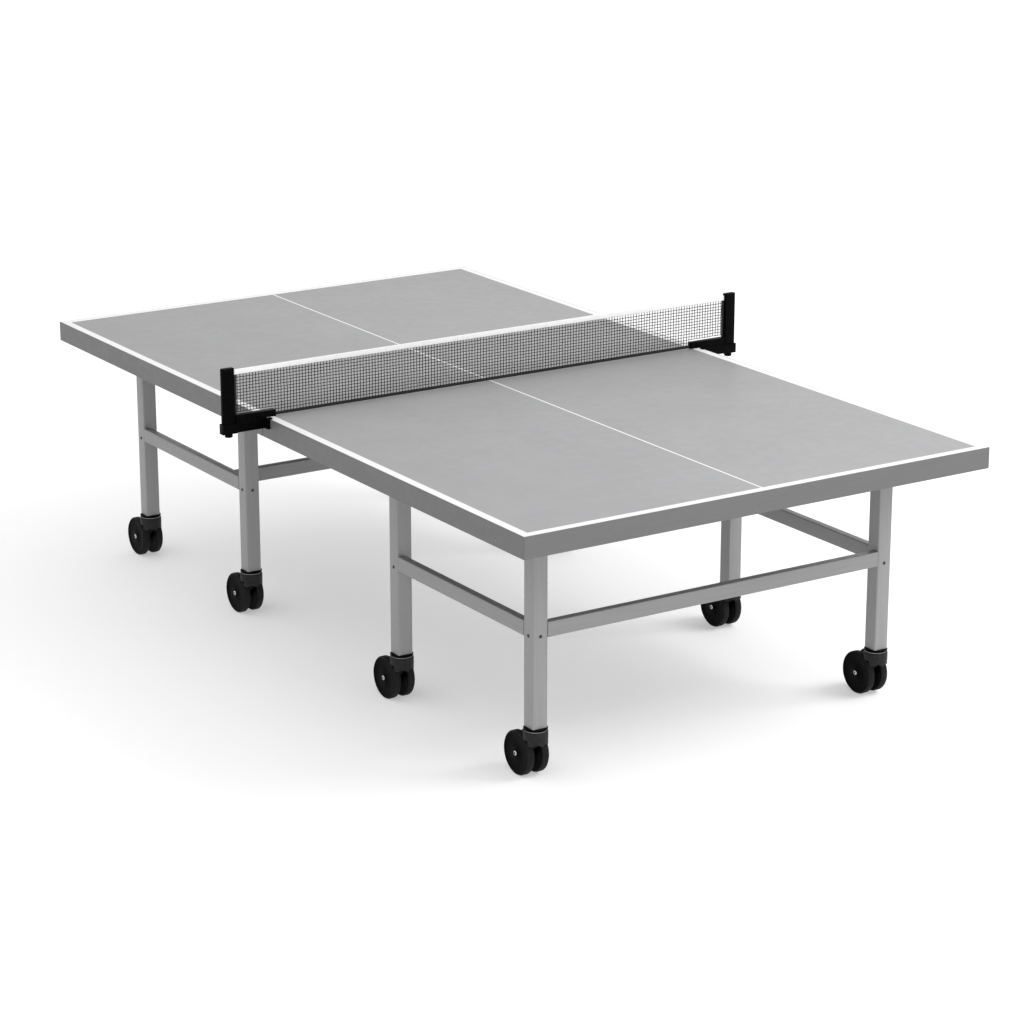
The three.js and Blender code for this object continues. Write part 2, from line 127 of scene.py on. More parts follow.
WELL_INNER = 11.2 * MM

# Fork tongue, seen from the side: y from the stem or the axle, height above the axle
TONGUE_HALF = 9 * MM
TONGUE_TOP_DROP = 31 * MM  # below the leg's foot
TONGUE_FRONT = -18 * MM  # from the stem
TONGUE_KNEE = (-12 * MM, 34 * MM)  # from the stem
TONGUE_HEEL = (9 * MM, 28 * MM)  # from the axle
TONGUE_BACK = 30 * MM  # from the stem
BOSS_RADIUS = 13 * MM
BOSS_STEPS = 12

# Castor axle, as (radius, depth below the rivet's face) in millimetres
RIVET_PROFILE = [(4, 2.5), (6.5, 2.5), (6.5, 1.2), (5.6, 0.3),
                 (4.4, 0), (3.8, 0), (3.2, 0.9), (0.6, 1.3)]
RIVET_THICKNESS = 2.5 * MM
RIVET_SIDES = 32
DIMPLE_RADIUS = 3.7 * MM

# Wheels, as (radius, dip below the side face), then (below the tread, in from the side face)
WHEEL_FLANK = [(4.6, 0), (10, 0), (11.5, 0.9), (52.5, 0.9), (54, 0.1), (57.5, 0.1)]
WHEEL_SHOULDER = [(1.2, 2.8), (0.2, 4.6)]
TREAD_DEPTH = 6 * MM
FINE_ROUND = 96

# Net
COLUMN_PITCH = 10 * MM
ROW_PITCH = 8.8 * MM
TWINE_RADIUS = 1.1 * MM
TWINE_SIDES = 5
KNOT_RADIUS = 1.65 * MM
KNOT_DEPTH = 0.8  # of its radius
NET_WANDER = 0.45 * MM
NET_DEPTH_WANDER = 0.5  # of the wander along the net
NET_SEED = 7
HEM_WALL = 0.7 * MM
HEM_WAVE = 0.25 * MM
HEM_LIFT = 0.5  # of its wave, up and down
HEM_BEND_STEPS = 8
TAPE_STEPS = 90
TAPE_SEED = 11
BAND_STEPS = 70
BAND_SEED = 12
SIDE_HEM_WIDTH = 7 * MM
SIDE_HEM_STEPS = 10
SIDE_HEM_SEED = 13
SIDE_HEM_RISE = 1 * MM  # above the bracket's tongue
STITCH_PITCH = 6 * MM
STITCH_SHARE = 0.36  # of the pitch
STITCH_HALF_WIDTH = 0.45 * MM
STITCH_RISE = 3 * MM  # above the tape's foot

# Net posts, as (distance, inset) in millimetres: up from the shoulder, down from the top
POST_FOOT = [(0, 0.8), (0.8, 0)]
POST_HEAD = [(13, 0), (12.7, 0.6), (12.1, 0.6), (11.8, 0),
             (2.6, 0), (1.2, 0.5), (0.3, 1.6), (0, 3.2)]
POST_SHOULDER = 29.3 * MM  # above the bracket's underside
POST_CORNER = 6 * MM
TENON_HALF_WIDTH = 15 * MM
TENON_HALF_DEPTH = 5.5 * MM
TENON_OVERLAP = 1 * MM
BRACKET_EDGE = 1.3 * MM

# Height screws: the knob is (height, inset) in millimetres
KNOB_PROFILE = [(0, 1.4), (0.5, 0.6), (1.4, 0), (8.8, 0), (10, 1)]
KNOB_HEIGHT = 10 * MM
KNOB_GROOVE = 0.9 * MM
KNOB_LOBES = 12
THREAD_RADIUS = 3 * MM
THREAD_TIP_RADIUS = 2.2 * MM
THREAD_CHAMFER = 1 * MM
THREAD_SIDES = 24
SCREW_COLLAR_RISE = 10.3 * MM  # above the bracket's underside
SCREW_COLLAR_RADIUS = 5 * MM
SCREW_COLLAR_THICKNESS = 2 * MM

# Materials
STREAKS_LEVEL = (0.05, 0.05, 1)
STREAKS_ALONG_X = (0.03, 1, 1)
STREAKS_ALONG_Y = (1, 0.03, 1)
STREAKS_ALONG_Z = (1, 1, 0.03)
WEBBING_THREAD = 1.4 * MM
TAPE_THREAD = 0.8 * MM
PAINT_RELIEF = 0.03 * MM

KEYS = [f"{half}_{row}_{side}" for half in ("near", "far")
        for row in ("end", "net") for side in ("left", "right")]


# ------------------------------------------------------------------ materials

class Look:
    """A Principled material built up from textures in object space."""

    def __init__(self, name, roughness, metallic=0.0, specular=0.5):
        self.material = bpy.data.materials.new(name)
        self.material.use_nodes = True
        self.tree = self.material.node_tree
        self.shader = self.tree.nodes["Principled BSDF"]
        self.shader.inputs["Roughness"].default_value = roughness
        self.shader.inputs["Metallic"].default_value = metallic
        self.shader.inputs["Specular IOR Level"].default_value = specular
        self.place = self.add("ShaderNodeTexCoord").outputs["Object"]
        self.height = None

    def add(self, kind, **settings):
        node = self.tree.nodes.new(kind)
        for name, value in settings.items():
            setattr(node, name, value)
        return node

    def link(self, output, target):
        self.tree.links.new(output, target)

    def stretched(self, stretch):
        """Object space scaled by `stretch` along each axis."""
        mapping = self.add("ShaderNodeMapping")
        mapping.inputs["Scale"].default_value = stretch
        self.link(self.place, mapping.inputs["Vector"])
        return mapping.outputs["Vector"]

    def noise(self, size, detail=2.0, stretch=(1, 1, 1)):
        """Noise with features about `size` metres across."""
        texture = self.add("ShaderNodeTexNoise")
        texture.inputs["Scale"].default_value = 1 / size
        texture.inputs["Detail"].default_value = detail
        self.link(self.stretched(stretch), texture.inputs["Vector"])
        return texture.outputs["Fac"]

    def waves(self, pitch, direction, profile="SIN"):
        texture = self.add("ShaderNodeTexWave", bands_direction=direction,
                           wave_profile=profile)
        texture.inputs["Scale"].default_value = math.pi / (10 * pitch)
        self.link(self.place, texture.inputs["Vector"])
        return texture.outputs["Fac"]

    def combined(self, operation, first, second):
        node = self.add("ShaderNodeMath", operation=operation)
        for value, target in ((first, node.inputs[0]), (second, node.inputs[1])):
            if isinstance(value, (int, float)):
                target.default_value = value
            else:
                self.link(value, target)
        return node.outputs[0]

    def remapped(self, factor, low, high, start=0.3, end=0.7):
        node = self.add("ShaderNodeMapRange")
        values = (("From Min", start), ("From Max", end), ("To Min", low), ("To Max", high))
        for name, value in values:
            node.inputs[name].default_value = value
        self.link(factor, node.inputs["Value"])
        return node.outputs["Result"]

    def colour(self, dark, light, factor):
        """Base colour between two linear colours."""
        mix = self.add("ShaderNodeMix", data_type="RGBA")
        mix.inputs["A"].default_value = (*dark, 1)
        mix.inputs["B"].default_value = (*light, 1)
        self.link(self.remapped(factor, 0, 1), mix.inputs["Factor"])
        self.link(mix.outputs["Result"], self.shader.inputs["Base Color"])

    def roughness(self, low, high, factor):
        self.link(self.remapped(factor, low, high), self.shader.inputs["Roughness"])

    def bump(self, factor, depth, strength=1.0):
        """Adds relief `depth` metres deep to what is there."""
        node = self.add("ShaderNodeBump")
        node.inputs["Strength"].default_value = strength
        node.inputs["Distance"].default_value = depth
        self.link(factor, node.inputs["Height"])
        if self.height is not None:
            self.link(self.height, node.inputs["Normal"])
        self.height = node.outputs["Normal"]
        self.link(self.height, self.shader.inputs["Normal"])


def grey(value, tint=0.0):
    """A linear grey, a little blue where tint is positive."""
    return (value, value, value * (1 + tint))


def board_paint():
    look = Look("board_paint", roughness=0.5, specular=0.4)
    look.colour(grey(0.298, 0.02), grey(0.314, 0.02), look.noise(180 * MM, 3))
    look.roughness(0.46, 0.56, look.noise(35 * MM, 4))
    look.bump(look.noise(1.1 * MM, 2), PAINT_RELIEF, 0.6)
    return look.material


def underside_painted_shade():
    """A dark underside: painted shade that darkens the rails' tops and the floor under the
    table.
    """
    look = Look("underside_painted_shade", roughness=0.75)
    # the dark colour is painted shade under the table
    look.colour(grey(0.025), grey(0.041), look.noise(9 * MM, 5))
    look.roughness(0.68, 0.82, look.noise(4 * MM, 4))
    look.bump(look.noise(1.5 * MM, 4), 0.08 * MM, 0.7)
    return look.material


def line_paint():
    look = Look("line_paint", roughness=0.45)
    look.colour(grey(0.76), grey(0.8), look.noise(40 * MM, 4))
    look.roughness(0.4, 0.52, look.noise(12 * MM, 3))
    look.bump(look.noise(0.9 * MM, 2), PAINT_RELIEF, 0.6)
    return look.material


def satin_steel(name, dark, light, roughness, streaks):
    """Satin paint over steel, with faint streaks along the part."""
    look = Look(name, roughness=roughness, metallic=0.1, specular=0.3)
    look.colour(grey(dark), grey(light), look.noise(5 * MM, 4, streaks))
    look.roughness(roughness - 0.05, roughness + 0.07, look.noise(22 * MM, 4))
    look.bump(look.noise(1.6 * MM, 2), PAINT_RELIEF, 0.5)
    return look.material


def black_plastic(name, dark, light, roughness, grain, specular=0.03):
    """Matt black moulding or rubber with a fine grain."""
    look = Look(name, roughness=roughness, specular=specular)
    look.colour(grey(dark), grey(light), look.noise(12 * MM, 4))
    look.roughness(roughness - 0.06, roughness + 0.08, look.noise(5 * MM, 4))
    look.bump(look.noise(grain, 2), 0.05 * MM, 0.5)
    return look.material


def bare_steel(name, dark, light):
    """Plated steel with fine turning marks."""
    look = Look(name, roughness=0.25, metallic=1.0)
    look.colour(grey(dark), grey(light), look.noise(3 * MM, 4))
    look.roughness(0.2, 0.36, look.noise(1.2 * MM, 3))
    look.bump(look.noise(0.5 * MM, 2), 0.02 * MM, 0.5)
    return look.material


def dark_screw():
    look = Look("dark_screw", roughness=0.3, metallic=1.0)
    look.colour(grey(0.05), grey(0.1), look.noise(2 * MM, 3))
    look.roughness(0.24, 0.4, look.noise(1.5 * MM, 3))
    return look.material


def twine():
    look = Look("twine", roughness=0.85, specular=0.2)
    look.colour(grey(0.008), grey(0.018), look.noise(1.4 * MM, 4))
    look.roughness(0.78, 0.92, look.noise(0.9 * MM, 2))
    look.bump(look.waves(1.1 * MM, "DIAGONAL"), 0.15 * MM, 0.7)
    return look.material


def woven(name, dark, light, thread, stitch_height=None):
    """Plain-woven tape with threads `thread` apart, and a row of stitches if it has one."""
    look = Look(name, roughness=0.85)
    look.colour(grey(dark), grey(light), look.noise(9 * MM, 4))
    look.roughness(0.78, 0.92, look.noise(2 * MM, 3))
    weave = look.combined("MULTIPLY", look.waves(thread, "X"), look.waves(thread, "Z"))
    look.bump(weave, 0.12 * MM, 0.7)
    if stitch_height is not None:
        look.bump(stitch_row(look, stitch_height), 0.3 * MM)
    return look.material


def stitch_row(look, height):
    """1 on a row of dashes along X at that height, 0 elsewhere."""
    split = look.add("ShaderNodeSeparateXYZ")
    look.link(look.place, split.inputs["Vector"])
    x, z = split.outputs["X"], split.outputs["Z"]
    off_row = look.combined("ABSOLUTE", look.combined("SUBTRACT", z, height), 0)
    on_row = look.combined("LESS_THAN", off_row, STITCH_HALF_WIDTH)
    along = look.combined("PINGPONG", x, STITCH_PITCH / 2)
    in_dash = look.combined("LESS_THAN", along, STITCH_SHARE * STITCH_PITCH)
    return look.combined("MULTIPLY", on_row, in_dash)


# ------------------------------------------------------------------- geometry

def circle(radius, count=ROUND):
    turns = [2 * math.pi * i / count for i in range(count)]
    return [(radius * math.cos(a), radius * math.sin(a)) for a in turns]


def hexagon(radius, count=ROUND):
    """A hexagon drawn with `count` points, so that it lofts onto a circle."""
    sixth = math.pi / 3
    points = []
    for i in range(count):
        a = 2 * math.pi * i / count
        reach = radius * math.cos(sixth / 2) / math.cos(a % sixth - sixth / 2)
        points.append((reach * math.cos(a), reach * math.sin(a)))
    return points


def lobed(radius, depth, lobes, count):
    """A circle with `lobes` finger grooves."""
    points = []
    for i in range(count):
        a = 2 * math.pi * i / count
        reach = radius - depth * (1 + math.cos(lobes * a)) / 2
        points.append((reach * math.cos(a), reach * math.sin(a)))
    return points


def rounded_rectangle(width, depth, corner, steps=5):
    points = []
    for quarter, (sx, sy) in enumerate(((1, 1), (-1, 1), (-1, -1), (1, -1))):
        x = sx * (width / 2 - corner)
        y = sy * (depth / 2 - corner)
        for step in range(steps + 1):
            a = (quarter + step / steps) * math.pi / 2
            points.append((x + corner * math.cos(a), y + corner * math.sin(a)))
    return points


def lifted(outline, z, centre=(0, 0)):
    return [(centre[0] + x, centre[1] + y, z) for x, y in outline]


def loft(bm, loops, ring=False):
    """Quads between successive loops; the ends are capped, or joined to each other."""
    rows = [[bm.verts.new(point) for point in loop] for loop in loops]
    following = rows[1:] + rows[:1] if ring else rows[1:]
    for row, after in zip(rows, following):
        for i in range(len(row)):
            j = (i + 1) % len(row)
            bm.faces.new((row[i], row[j], after[j], after[i]))
    if not ring:
        bm.faces.new(rows[0])
        bm.faces.new(rows[-1])


def block(bm, low, high):
    (x0, y0, z0), (x1, y1, z1) = low, high
    corners = [(x0, y0), (x1, y0), (x1, y1), (x0, y1)]
    loft(bm, [lifted(corners, z0), lifted(corners, z1)])


def turned(bm, profile, centre, ring=False, count=ROUND):
    """A solid turned about an upright axis from (radius, z) points."""
    loft(bm, [lifted(circle(r, count), z, centre) for r, z in profile], ring)


def swung(bm, before, matrix):
    """Moves the vertices added since `before` of them were there."""
    bm.verts.ensure_lookup_table()
    bmesh.ops.transform(bm, matrix=matrix, verts=bm.verts[before:])


def hollow_bar(bm, low, high, axis, corner, wall):
    """A rectangular tube that fills a box and is open at both ends along `axis`."""
    across = [i for i in range(3) if i != axis]
    width, depth = (high[i] - low[i] for i in across)
    middle = [(high[i] + low[i]) / 2 for i in across]
    outer = rounded_rectangle(width, depth, corner)
    inner = rounded_rectangle(width - 2 * wall, depth - 2 * wall, corner - wall)

    def section(outline, along):
        loop = []
        for u, v in outline:
            point = [0.0, 0.0, 0.0]
            point[across[0]], point[across[1]] = middle[0] + u, middle[1] + v
            point[axis] = along
            loop.append(point)
        return loop

    start, end = low[axis], high[axis]
    loops = [section(outer, start), section(outer, end), section(inner, end)]
    loft(bm, loops + [section(inner, start)], ring=True)


def softened(node):
    """A CAD node's shape with its flat faces whole again."""
    bm = bmesh.new()
    bm.from_mesh(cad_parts[node].data)
    bmesh.ops.remove_doubles(bm, verts=bm.verts, dist=0.01 * MM)
    bmesh.ops.dissolve_limit(
        bm, angle_limit=math.radians(1), verts=bm.verts, edges=bm.edges
    )
    return bm


def piece(name, bm, body, looks, stands_for=(), edge=0.0):
    """A finished piece: shaded, with its edges rounded, on its body."""
    bmesh.ops.recalc_face_normals(bm, faces=bm.faces)
    mesh = bpy.data.meshes.new(name)
    bm.to_mesh(mesh)
    bm.free()
    mesh.polygons.foreach_set("use_smooth", [True] * len(mesh.polygons))
    for look in looks:
        mesh.materials.append(look)
    obj = bpy.data.objects.new(name, mesh)
    bpy.context.scene.collection.objects.link(obj)
    if edge:
        bevel = obj.modifiers.new("rounded_edges", "BEVEL")
        bevel.width = edge
        bevel.segments = 2
        bevel.limit_method = "ANGLE"
        bevel.angle_limit = math.radians(30)
        bevel.harden_normals = True
    else:
        mesh.set_sharp_from_angle(angle=math.radians(40))
    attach(obj, body)
    if stands_for:
        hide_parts(*stands_for)
    return obj


# ------------------------------------------------------------------- tabletop

def playing_surface(half, looks):
    node = f"{half}_top_panel"
    board = softened(node)
    # faces low on the board take the underside's dark colour, a painted shade
    for face in board.faces:
        face.material_index = int(face.calc_center_median().z < BOARD_PAINT_FOOT)
    piece(f"{half}_board", board, f"{half}_half",
          [looks["board"], looks["underside"]], [node], PANEL_EDGE)
    low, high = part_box(node)
    outward = -1 if half == "near" else 1
    end = low.y if outward < 0 else high.y
    split = high.y if outward < 0 else low.y
    inner_end = end - outward * LINE_WIDTH
    foot, top = high.z, high.z + PAINT_THICKNESS
    side = LINE_WIDTH
    centre = CENTRE_LINE_WIDTH / 2
    strips = [
        (low.x, high.x, end, inner_end),
        (low.x, low.x + side, inner_end, split),
        (high.x - side, high.x, inner_end, split),
        (-centre, centre, inner_end, split),
    ]
    bm = bmesh.new()
    for x0, x1, y0, y1 in strips:
        block(bm, (x0, min(y0, y1), foot), (x1, max(y0, y1), top))
    piece(f"{half}_white_lines", bm, f"{half}_half", [looks["line"]])


def apron(half, looks):
    """The channel round a half: four rolled lengths with mitred corners."""
    node = f"{half}_apron"
    low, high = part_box(node)
    foot = low.z
    height = high.z - low.z
    wall, ledge, lip = APRON_WALL, APRON_LEDGE_DEPTH, APRON_LIP_DEPTH
    ledge_top = APRON_LEDGE_TOP
    profile = [
        (0, 0), (0, height), (wall, height), (wall, ledge_top), (ledge, ledge_top),
        (ledge, ledge_top - wall), (wall, ledge_top - wall), (wall, wall), (lip, wall), (lip, 0),
    ]
    corners = [Vector((low.x, low.y)), Vector((high.x, low.y)),
               Vector((high.x, high.y)), Vector((low.x, high.y))]
    bm = bmesh.new()
    for i, start in enumerate(corners):
        end = corners[(i + 1) % len(corners)]
        along = (end - start).normalized()
        inward = Vector((-along.y, along.x))
        loops = []
        for corner, into in ((start, along), (end, -along)):
            mitre = into + inward
            points = [corner + into * MITRE_GAP / 2 + mitre * depth for depth, _ in profile]
            loops.append([(p.x, p.y, foot + z) for p, (_, z) in zip(points, profile)])
        loft(bm, loops)
    piece(f"{half}_apron_channel", bm, f"{half}_half",
          [looks["apron"]], [node], APRON_EDGE)


# -------------------------------------------------------------- undercarriage

def screw(bm, place, outward):
    """A button-head screw with a hexagon socket, lying on a face."""
    before = len(bm.verts)
    height = SCREW_HEIGHT * SCREW_HEAD
    socket = hexagon(SCREW_SOCKET * SCREW_HEAD, SCREW_SIDES)
    loops = [lifted(circle(share * SCREW_HEAD, SCREW_SIDES), level * height)
             for share, level in SCREW_DOME]
    loops += [lifted(socket, height), lifted(socket, SCREW_SOCKET_FLOOR * height)]
    loft(bm, loops)
    turn = Vector((0, 0, 1)).rotation_difference(outward).to_matrix().to_4x4()
    swung(bm, before, Matrix.Translation(place) @ turn)


def leg_tube(low, high):
    """A square tube under the plate that is screwed to the board."""
    centre = (low + high) / 2
    reach = LEG_SIDE / 2
    plate_foot = high.z - PLATE_THICKNESS
    tube_low = (centre.x - reach, centre.y - reach, low.z)
    tube_high = (centre.x + reach, centre.y + reach, plate_foot)
    bm = bmesh.new()
    hollow_bar(bm, tube_low, tube_high, 2, LEG_CORNER, TUBE_WALL)
    block(bm, (low.x, low.y, plate_foot), high)
    return bm


def leg_plug(middle, foot):
    """The plug in a leg's foot, bored for the castor's stem."""
    inside = LEG_SIDE - 2 * TUBE_WALL
    outer = rounded_rectangle(inside, inside, LEG_CORNER - TUBE_WALL)
    inner = circle(STEM_BORE, len(outer))
    eighth = len(outer) // 8
    inner = inner[eighth:] + inner[:eighth]
    top = foot + PLUG_THICKNESS
    bm = bmesh.new()
    loft(bm, [lifted(outer, foot, middle), lifted(outer, top, middle),
              lifted(inner, top, middle), lifted(inner, foot, middle)], ring=True)
    return bm


def leg_screws(low, high, row, level):
    """A screw on each of the two outer faces, and four under the plate."""
    centre = (low + high) / 2
    reach = LEG_SIDE / 2
    out_x = math.copysign(1, centre.x)
    out_y = {"end": 1, "net": -1}[row] * math.copysign(1, centre.y)
    bm = bmesh.new()
    screw(bm, (centre.x + out_x * reach, centre.y, level), Vector((out_x, 0, 0)))
    screw(bm, (centre.x, centre.y + out_y * reach, level), Vector((0, out_y, 0)))
    for x in (low.x + PLATE_SCREW_INSET, high.x - PLATE_SCREW_INSET):
        for y in (low.y + PLATE_SCREW_INSET, high.y - PLATE_SCREW_INSET):
            screw(bm, (x, y, high.z - PLATE_THICKNESS), Vector((0, 0, -1)))
    return bm


def leg(key, looks):
    half, row, side = key.split("_")
    body = f"{half}_half"
    node = f"{key}_leg"
    low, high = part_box(node)
    centre = (low + high) / 2
    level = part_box(f"{half}_{side}_rail")[0].z + SCREW_ABOVE_RAIL_FOOT
    piece(f"{key}_leg_tube", leg_tube(low, high), body,
          [looks["leg"]], [node], LEG_EDGE)
    piece(f"{key}_leg_plug", leg_plug((centre.x, centre.y), low.z), body,
          [looks["nylon"]])
    piece(f"{key}_leg_screws", leg_screws(low, high, row, level), body,
          [looks["screw"]])


def rail(node, axis, looks):
    low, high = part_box(node)
    bm = bmesh.new()
    hollow_bar(bm, low, high, axis, RAIL_CORNER, TUBE_WALL)
    half = node.split("_")[0]
    look = looks["rail_x" if axis == 0 else "rail_y"]
    piece(f"{node}_tube", bm, f"{half}_half", [look], [node], RAIL_EDGE)


# -------------------------------------------------------------------- castors

def skirt(bm, centre, top):
    """The curved wall that hangs from the front of a castor's housing."""
    loops = []
    for i, drop in enumerate(SKIRT_DROPS):
        a = SKIRT_FROM + (SKIRT_TO - SKIRT_FROM) * i / (len(SKIRT_DROPS) - 1)
        x, y = math.cos(a), math.sin(a)
        section = ((SKIRT_INNER, SKIRT_OVERLAP), (SKIRT_OUTER, SKIRT_OVERLAP),
                   (SKIRT_OUTER, -drop * MM), (SKIRT_INNER, -drop * MM))
        loops.append([(centre[0] + reach * x, centre[1] + reach * y, top + rise)
                      for reach, rise in section])
    loft(bm, loops)


def tongue(bm, stem, axle, top):
    """The flat stem of the fork, from the housing down to the axle."""
    knee_y, knee_z = TONGUE_KNEE
    heel_y, heel_z = TONGUE_HEEL
    outline = [(stem.y + TONGUE_FRONT, top), (stem.y + knee_y, axle.z + knee_z)]
    for step in range(BOSS_STEPS + 1):
        a = math.pi * (1 + step / BOSS_STEPS)
        outline.append((axle.y + BOSS_RADIUS * math.cos(a), axle.z + BOSS_RADIUS * math.sin(a)))
    outline += [(axle.y + heel_y, axle.z + heel_z), (stem.y + TONGUE_BACK, top)]
    sides = (stem.x - TONGUE_HALF, stem.x + TONGUE_HALF)
    loft(bm, [[(x, y, height) for y, height in outline] for x in sides])


def castor(key, looks):
    body = f"{key}_castor"
    fork = f"{key}_castor_fork"
    stem_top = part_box(fork)[1].z
    axle_low, axle_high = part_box(f"{key}_castor_axle")
    axle = (axle_low + axle_high) / 2
    leg_low, leg_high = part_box(f"{key}_leg")
    stem = (leg_low + leg_high) / 2
    middle = (stem.x, stem.y)
    head = leg_low.z

    def turned_head(bm, profile):
        turned(bm, [(r * MM, head - drop * MM) for r, drop in profile], middle)

    bm = bmesh.new()
    turned_head(bm, HOUSING_PROFILE)
    skirt(bm, middle, head - HOUSING_DROP)
    bm = carved(bm, wheel_wells(axle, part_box(f"{key}_wheel_left")))
    tongue(bm, stem, axle, head - TONGUE_TOP_DROP)
    turned_head(bm, COLLAR_PROFILE)
    for face in bm.faces:
        face.material_index = int(face.calc_center_median().z > head - COLLAR_DROP)
    piece(f"{key}_castor_body", bm, body,
          [looks["castor"], looks["nylon"]], [fork], CASTOR_EDGE)

    bm = bmesh.new()
    turned_head(bm, RACE_PROFILE)
    turned(bm, [(STEM_RADIUS, head - STEM_DROP), (STEM_RADIUS, stem_top - STEM_CHAMFER),
                (STEM_TIP_RADIUS, stem_top)], middle)
    piece(f"{key}_castor_race", bm, body, [looks["race"]])

    castor_axle(key, axle, axle_high.x - axle.x, looks)
    for side in ("left", "right"):
        wheel(f"{key}_wheel_{side}", looks)


def wheel_wells(axle, wheel_box):
    """Two cylinders a little larger than the wheels, out past the housing's sides."""
    low, high = wheel_box
    radius = (high.z - low.z) / 2 + WELL_CLEARANCE
    bm = bmesh.new()
    for near, far in ((WELL_INNER, 2 * SKIRT_OUTER), (-2 * SKIRT_OUTER, -WELL_INNER)):
        turned(bm, [(radius, near), (radius, far)], (0, 0), count=FINE_ROUND)
    bmesh.ops.transform(bm, matrix=about_x(axle), verts=bm.verts)
    return bm


def carved(bm, cutter):
    """What is left of one solid when another is cut out of it."""
    objects = []
    for name, part in (("whole", bm), ("cutter", cutter)):
        bmesh.ops.recalc_face_normals(part, faces=part.faces)
        mesh = bpy.data.meshes.new(name)
        part.to_mesh(mesh)
        part.free()
        obj = bpy.data.objects.new(name, mesh)
        bpy.context.scene.collection.objects.link(obj)
        objects.append(obj)
    whole, tool = objects
    boolean = whole.modifiers.new("carve", "BOOLEAN")
    boolean.operation = "DIFFERENCE"
    boolean.solver = "EXACT"
    boolean.use_self = True
    boolean.object = tool
    depsgraph = bpy.context.evaluated_depsgraph_get()
    result = bmesh.new()
    result.from_object(whole, depsgraph)
    for obj in objects:
        bpy.data.objects.remove(obj)
    return result


def about_x(centre):
    """Turns an upright solid at the origin to lie along X at `centre`."""
    return Matrix.Translation(centre) @ Matrix.Rotation(math.pi / 2, 4, "Y")


def castor_axle(key, centre, reach, looks):
    """A pin with a dimpled rivet head at each end."""
    end = [(r * MM, reach - depth * MM) for r, depth in RIVET_PROFILE]
    profile = [(r, -z) for r, z in reversed(end)] + end
    bm = bmesh.new()
    turned(bm, profile, (0, 0), count=RIVET_SIDES)
    for face in bm.faces:
        middle = face.calc_center_median()
        in_head = abs(middle.z) > reach - RIVET_THICKNESS
        in_dimple = in_head and math.hypot(middle.x, middle.y) < DIMPLE_RADIUS
        face.material_index = int(in_dimple)
    swung(bm, 0, about_x(centre))
    node = f"{key}_castor_axle"
    piece(f"{key}_castor_pin", bm, f"{key}_castor",
          [looks["zinc"], looks["screw"]], [node])


def wheel(node, looks):
    """A disc with a low hub, a shallow dish and a chamfered, slightly crowned tread."""
    low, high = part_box(node)
    centre = (low + high) / 2
    half = (high.x - low.x) / 2
    radius = (high.z - low.z) / 2
    side = [(r * MM, half - dip * MM) for r, dip in WHEEL_FLANK]
    side += [(radius - below * MM, half - inset * MM) for below, inset in WHEEL_SHOULDER]
    profile = side + [(r, -z) for r, z in reversed(side)]
    bm = bmesh.new()
    turned(bm, profile, (0, 0), ring=True, count=FINE_ROUND)
    for face in bm.faces:
        middle = face.calc_center_median()
        in_tread = math.hypot(middle.x, middle.y) > radius - TREAD_DEPTH
        face.material_index = int(in_tread)
    swung(bm, 0, about_x(centre))
    piece(f"{node}_disc", bm, node, [looks["disc"], looks["tread"]], [node])


# ------------------------------------------------------------------------ net

def tube_along(points, sides, radius):
    """Loops of `sides` points round a line of points."""
    loops = []
    for i, point in enumerate(points):
        ahead = points[min(i + 1, len(points) - 1)] - points[max(i - 1, 0)]
        first = Vector((0, 1, 0))
        second = ahead.normalized().cross(first)
        loop = []
        for k in range(sides):
            a = 2 * math.pi * k / sides
            loop.append(point + radius * (math.cos(a) * first + math.sin(a) * second))
        loops.append(loop)
    return loops


def knot(bm, point):
    """A small octahedron where two strands cross."""
    axes = (Vector((1, 0, 0)), Vector((0, 0, 1)), Vector((-1, 0, 0)), Vector((0, 0, -1)))
    waist = [bm.verts.new(point + KNOT_RADIUS * axis) for axis in axes]
    for tip_side in (-1, 1):
        tip = bm.verts.new(point + Vector((0, tip_side * KNOT_RADIUS * KNOT_DEPTH, 0)))
        for i, corner in enumerate(waist):
            bm.faces.new((corner, waist[(i + 1) % len(waist)], tip))


def crossings(low, high, columns, rows):
    """Where the strands cross, a little uneven, except over the two brackets."""
    band_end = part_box("net_bottom_band")[1].x
    tongue_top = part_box("right_net_bracket")[1].z
    y = (low.y + high.y) / 2
    draw = random.Random(NET_SEED)
    grid = {}
    for i in range(columns + 1):
        for j in range(rows + 1):
            x = low.x + (high.x - low.x) * i / columns
            z = low.z + (high.z - low.z) * j / rows
            over_bracket = abs(x) > band_end
            if over_bracket and z < tongue_top + TWINE_RADIUS:
                continue
            edge = i in (0, columns) or j in (0, rows)
            wander = 0 if edge else NET_WANDER
            grid[i, j] = Vector((
                x + draw.uniform(-wander, wander),
                y + draw.uniform(-wander, wander) * NET_DEPTH_WANDER,
                z + draw.uniform(-wander, wander),
            ))
    return grid


def net(looks, hems):
    """A square mesh of knotted twine, cut away over the two brackets."""
    low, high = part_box("net_mesh")
    length, height = high.x - low.x, high.z - low.z
    columns = round(length / COLUMN_PITCH)
    rows = round(height / ROW_PITCH)
    grid = crossings(low, high, columns, rows)
    strands = [[grid[i, j] for j in range(rows + 1) if (i, j) in grid]
               for i in range(columns + 1)]
    strands += [[grid[i, j] for i in range(columns + 1) if (i, j) in grid]
                for j in range(rows + 1)]
    bm = bmesh.new()
    for strand in strands:
        loft(bm, tube_along(strand, TWINE_SIDES, TWINE_RADIUS))
    for point in grid.values():
        knot(bm, point)
    obj = piece("net_of_twine", bm, "net_set", [looks["twine"]], ["net_mesh"])


